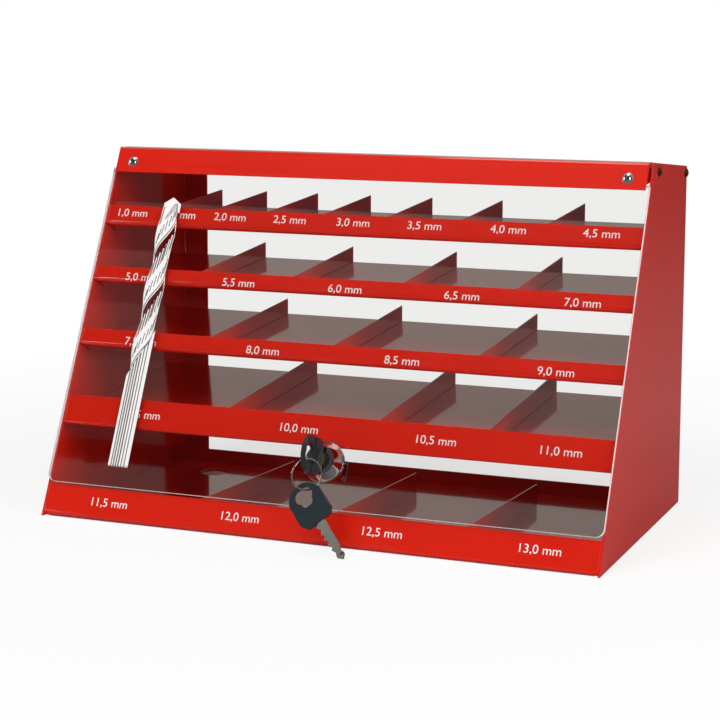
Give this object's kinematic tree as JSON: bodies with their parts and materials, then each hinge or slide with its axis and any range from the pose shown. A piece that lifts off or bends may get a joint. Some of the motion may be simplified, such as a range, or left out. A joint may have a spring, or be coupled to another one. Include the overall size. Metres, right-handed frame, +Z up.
{
  "type": "drill bit dispenser case",
  "caption": "Sloping sheet-steel drill bit case with five rows of open compartments, a lift-up clear front, a cam lock and keys on a ring.",
  "frame": {"origin": "centre of the case's underside, where it rests on the bench", "axes": "+Z up, +X across the width to the user's right, -Y towards the user"},
  "size_m": [0.4038, 0.2396, 0.25],
  "materials": {
    "red_enamel": "gloss red enamel on steel sheet",
    "clear_acrylic": "clear polished acrylic",
    "bronzed_rivets": "darkened brass",
    "bright_chrome": "polished chrome",
    "zinc_steel": "zinc plated",
    "nickel_plug": "turned, nickel plated",
    "nickel_silver": "milled nickel silver",
    "black_bow": "moulded",
    "ring_wire": "nickel plated wire"
  },
  "bodies": {
    "case": {"base_tray": "red_enamel", "divider_1_1": "red_enamel", "divider_1_2": "red_enamel", "divider_1_3": "red_enamel", "divider_1_4": "red_enamel", "divider_1_5": "red_enamel", "divider_1_6": "red_enamel", "divider_1_7": "red_enamel", "divider_2_1": "red_enamel", "divider_2_2": "red_enamel", "divider_2_3": "red_enamel", "divider_2_4": "red_enamel", "divider_3_1": "red_enamel", "divider_3_2": "red_enamel", "divider_3_3": "red_enamel", "divider_4_1": "red_enamel", "divider_4_2": "red_enamel", "divider_4_3": "red_enamel", "divider_5_1": "red_enamel", "divider_5_2": "red_enamel", "divider_5_3": "red_enamel", "hinge_pins": "bronzed_rivets", "hinge_washers": "zinc_steel", "left_side": "red_enamel", "right_side": "red_enamel", "shelf_1": "red_enamel", "shelf_2": "red_enamel", "shelf_3": "red_enamel", "shelf_4": "red_enamel", "top_panel": "red_enamel", "top_rivets": "bronzed_rivets"},
    "cover": {"front_window": "clear_acrylic", "header_strip": "red_enamel", "cover_screws": "bright_chrome", "cover_washers": "zinc_steel", "cover_nuts": "zinc_steel", "lock_housing": "bright_chrome", "lock_nut": "zinc_steel"},
    "lock_plug": {"lock_plug": "nickel_plug", "lock_cam": "zinc_steel", "cam_screw": "zinc_steel"},
    "key": {"key_blade": "nickel_silver", "key_bow": "black_bow"},
    "ring": {"key_ring": "ring_wire"},
    "spare_key": {"spare_key_blade": "nickel_silver", "spare_key_bow": "black_bow"}
  },
  "joints": [
    {"name": "cover_hinge", "type": "hinge", "parent": "case", "child": "cover", "pos_m": [0, 0.0229, 0.2435], "axis": [-1, 0, 0], "range_deg": [0, 100]},
    {"name": "lock_turn", "type": "hinge", "parent": "cover", "child": "lock_plug", "pos_m": [0.006, -0.09515, 0.05494], "axis": [0, 0.9057, -0.4239], "range_deg": [0, 90]},
    {"name": "key_pull", "type": "slide", "parent": "lock_plug", "child": "key", "axis": [0, -0.9057, 0.4239], "range_m": [0, 0.03]},
    {"name": "ring_swing", "type": "hinge", "parent": "key", "child": "ring", "pos_m": [0.006, -0.11695, 0.06015], "axis": [-0.7071, -0.7071, 0], "range_deg": [0, 50]},
    {"name": "spare_key_swing", "type": "hinge", "parent": "ring", "child": "spare_key", "pos_m": [0.006, -0.11695, 0.03955], "axis": [-0.7071, -0.7071, 0], "range_deg": [0, 40]}
  ]
}
